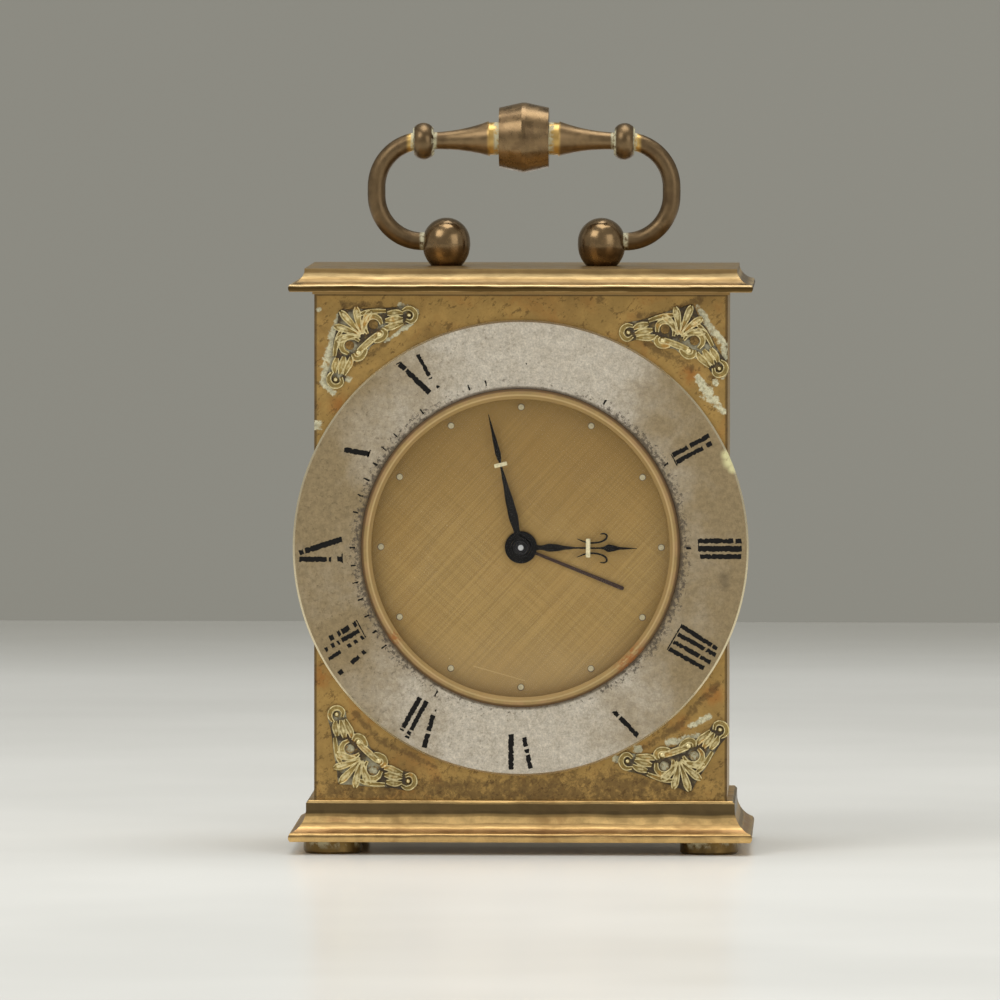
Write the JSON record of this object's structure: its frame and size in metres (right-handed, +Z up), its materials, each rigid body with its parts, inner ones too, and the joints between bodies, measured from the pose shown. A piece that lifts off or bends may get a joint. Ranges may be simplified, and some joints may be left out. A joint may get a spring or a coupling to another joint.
{
  "type": "desk clock",
  "caption": "Brass carriage-style desk clock with a folding handle, wide chapter ring, corner scrolls, alarm hand and a key-wound movement.",
  "frame": {"origin": "under the middle of the clock's box, on the floor that the feet stand on", "axes": "+X to the right as seen from the front, +Y from the dial to the back, +Z up"},
  "size_m": [0.0706, 0.0486, 0.1144],
  "materials": {
    "case_brass": "aged satin brass with stains",
    "handle_bronze": "dark bronze patina",
    "foot_brass": "satin brass",
    "silvered": "silvered, speckled",
    "dial_gold": "brushed gilt",
    "ornament": "cast, tarnished",
    "lume": "cream paint",
    "hand_black": "black",
    "crystal": "clear",
    "plate_brass": "polished",
    "wheel_brass": "polished",
    "steel": "polished",
    "blue_steel": "blued"
  },
  "bodies": {
    "case": {"plinth": "case_brass", "feet": "foot_brass", "case_screws": "steel", "case_shell": "case_brass", "front_panel": "case_brass", "back_panel": "case_brass", "corner_pillars": "plate_brass", "cornice": "case_brass", "handle_posts": "handle_bronze", "post_nuts": "steel", "chapter_ring": "silvered", "corner_ornaments": "ornament", "bezel": "dial_gold", "crystal": "crystal", "dial": "dial_gold", "hour_dots": "lume", "movement_ring": "plate_brass", "movement_screws": "steel", "front_plate": "plate_brass", "back_plate": "plate_brass", "plate_pillars": "plate_brass", "balance_cock": "plate_brass", "hairspring": "blue_steel", "gong_post": "steel"},
    "handle": {"handle_arms": "handle_bronze", "handle_collars": "handle_bronze", "handle_sleeves": "handle_bronze", "handle_grip": "handle_bronze"},
    "minute_arbor": {"minute_hand": "hand_black", "cannon_pinion": "steel", "centre_wheel": "wheel_brass"},
    "hour_pipe": {"hour_hand": "hand_black", "hour_wheel": "wheel_brass"},
    "minute_wheel_body": {"minute_wheel": "wheel_brass"},
    "hand_setter": {"hand_setting_arbor": "steel", "hand_setting_knob": "wheel_brass"},
    "intermediate_body": {"intermediate_wheel": "wheel_brass"},
    "time_barrel_body": {"time_barrel": "wheel_brass", "time_mainspring": "blue_steel"},
    "third_body": {"third_wheel": "wheel_brass"},
    "fourth_body": {"fourth_wheel": "wheel_brass"},
    "escape_body": {"escape_wheel": "steel"},
    "pallet_body": {"pallet_lever": "steel"},
    "balance_body": {"balance_wheel": "wheel_brass"},
    "regulator_body": {"regulator": "steel"},
    "alarm_pipe": {"alarm_hand": "hand_black", "alarm_wheel": "wheel_brass"},
    "alarm_setter": {"alarm_setting_arbor": "steel", "alarm_setting_knob": "wheel_brass"},
    "time_winder": {"time_winding_arbor": "steel", "time_key": "wheel_brass"},
    "time_click_body": {"time_click": "steel"},
    "alarm_winder": {"alarm_winding_arbor": "steel", "alarm_key": "wheel_brass"},
    "alarm_click_body": {"alarm_click": "steel"},
    "alarm_barrel_body": {"alarm_barrel": "wheel_brass", "alarm_mainspring": "blue_steel"},
    "alarm_star_body": {"alarm_star_wheel": "steel"},
    "hammer_body": {"alarm_hammer": "steel"},
    "stop_body": {"stop_button": "wheel_brass"}
  },
  "joints": [
    {"name": "handle_swing", "type": "hinge", "parent": "case", "child": "handle", "pos_m": [0, -0.00248, 0.09305], "axis": [1, 0, 0], "range_deg": [-82, 82]},
    {"name": "minute_spin", "type": "hinge", "parent": "case", "child": "minute_arbor", "pos_m": [0, -0.00248, 0.0468], "axis": [0, 1, 0], "continuous": true},
    {"name": "hour_spin", "type": "hinge", "parent": "case", "child": "hour_pipe", "pos_m": [0, -0.00248, 0.0468], "axis": [0, 1, 0], "continuous": true},
    {"name": "minute_wheel_spin", "type": "hinge", "parent": "case", "child": "minute_wheel_body", "pos_m": [-0.0052, -0.00248, 0.0498], "axis": [0, 1, 0], "continuous": true},
    {"name": "hand_set_spin", "type": "hinge", "parent": "case", "child": "hand_setter", "pos_m": [-0.01039, -0.00248, 0.0528], "axis": [0, 1, 0], "continuous": true},
    {"name": "intermediate_spin", "type": "hinge", "parent": "case", "child": "intermediate_body", "pos_m": [-0.00157, -0.00248, 0.03947], "axis": [0, 1, 0], "continuous": true},
    {"name": "time_barrel_spin", "type": "hinge", "parent": "case", "child": "time_barrel_body", "pos_m": [-0.0125, -0.00248, 0.0398], "axis": [0, 1, 0], "continuous": true},
    {"name": "third_spin", "type": "hinge", "parent": "case", "child": "third_body", "pos_m": [0, -0.00248, 0.05328], "axis": [0, 1, 0], "continuous": true},
    {"name": "fourth_spin", "type": "hinge", "parent": "case", "child": "fourth_body", "pos_m": [0.00141, -0.00248, 0.05853], "axis": [0, 1, 0], "continuous": true},
    {"name": "escape_spin", "type": "hinge", "parent": "case", "child": "escape_body", "pos_m": [-0.00283, -0.00248, 0.06051], "axis": [0, 1, 0], "continuous": true},
    {"name": "pallet_swing", "type": "hinge", "parent": "case", "child": "pallet_body", "pos_m": [-0.00667, -0.00248, 0.05984], "axis": [0, 1, 0], "range_deg": [-5, 5]},
    {"name": "balance_swing", "type": "hinge", "parent": "case", "child": "balance_body", "pos_m": [-0.01285, -0.00248, 0.05929], "axis": [0, 1, 0], "range_deg": [-140, 140], "stiffness_Nm_per_rad": 0.000002},
    {"name": "regulator_swing", "type": "hinge", "parent": "case", "child": "regulator_body", "pos_m": [-0.01285, -0.00248, 0.05929], "axis": [0, 1, 0], "range_deg": [-20, 20]},
    {"name": "alarm_set", "type": "hinge", "parent": "case", "child": "alarm_pipe", "pos_m": [0, -0.00248, 0.0468], "axis": [0, 1, 0], "continuous": true},
    {"name": "alarm_set_spin", "type": "hinge", "parent": "case", "child": "alarm_setter", "pos_m": [0.01039, -0.00248, 0.0528], "axis": [0, 1, 0], "continuous": true},
    {"name": "time_wind", "type": "hinge", "parent": "case", "child": "time_winder", "pos_m": [-0.0125, -0.00248, 0.0398], "axis": [0, 1, 0], "range_deg": [0, 2160]},
    {"name": "time_click_lift", "type": "hinge", "parent": "case", "child": "time_click_body", "pos_m": [-0.01105, -0.00248, 0.04521], "axis": [0, 1, 0], "range_deg": [0, 12], "stiffness_Nm_per_rad": 0.00002},
    {"name": "alarm_wind", "type": "hinge", "parent": "case", "child": "alarm_winder", "pos_m": [0.0125, -0.00248, 0.0398], "axis": [0, 1, 0], "range_deg": [0, 1800]},
    {"name": "alarm_click_lift", "type": "hinge", "parent": "case", "child": "alarm_click_body", "pos_m": [0.01395, -0.00248, 0.04521], "axis": [0, 1, 0], "range_deg": [0, 12], "stiffness_Nm_per_rad": 0.00002},
    {"name": "alarm_barrel_spin", "type": "hinge", "parent": "case", "child": "alarm_barrel_body", "pos_m": [0.0125, -0.00248, 0.0398], "axis": [0, 1, 0], "continuous": true},
    {"name": "alarm_star_spin", "type": "hinge", "parent": "case", "child": "alarm_star_body", "pos_m": [0.00477, -0.00248, 0.03207], "axis": [0, 1, 0], "continuous": true},
    {"name": "hammer_swing", "type": "hinge", "parent": "case", "child": "hammer_body", "pos_m": [0.00007, -0.00248, 0.03036], "axis": [0, 1, 0], "range_deg": [-6, 6], "stiffness_Nm_per_rad": 0.0003},
    {"name": "stop_slide", "type": "slide", "parent": "case", "child": "stop_body", "axis": [0, -1, 0], "range_m": [0, 0.0022], "stiffness_N_per_m": 60, "springref_m": -0.0005}
  ],
  "couplings": [
    {"joint": "hour_spin", "follows": "minute_spin", "ratio": 0.083333},
    {"joint": "minute_wheel_spin", "follows": "minute_spin", "ratio": -0.33333},
    {"joint": "hand_set_spin", "follows": "minute_spin", "ratio": 1},
    {"joint": "intermediate_spin", "follows": "minute_spin", "ratio": -0.25},
    {"joint": "time_barrel_spin", "follows": "minute_spin", "ratio": 0.03125},
    {"joint": "third_spin", "follows": "minute_spin", "ratio": -8},
    {"joint": "fourth_spin", "follows": "minute_spin", "ratio": 60},
    {"joint": "escape_spin", "follows": "minute_spin", "ratio": -480},
    {"joint": "alarm_set_spin", "follows": "alarm_set", "ratio": -4},
    {"joint": "alarm_star_spin", "follows": "alarm_barrel_spin", "ratio": -8}
  ]
}
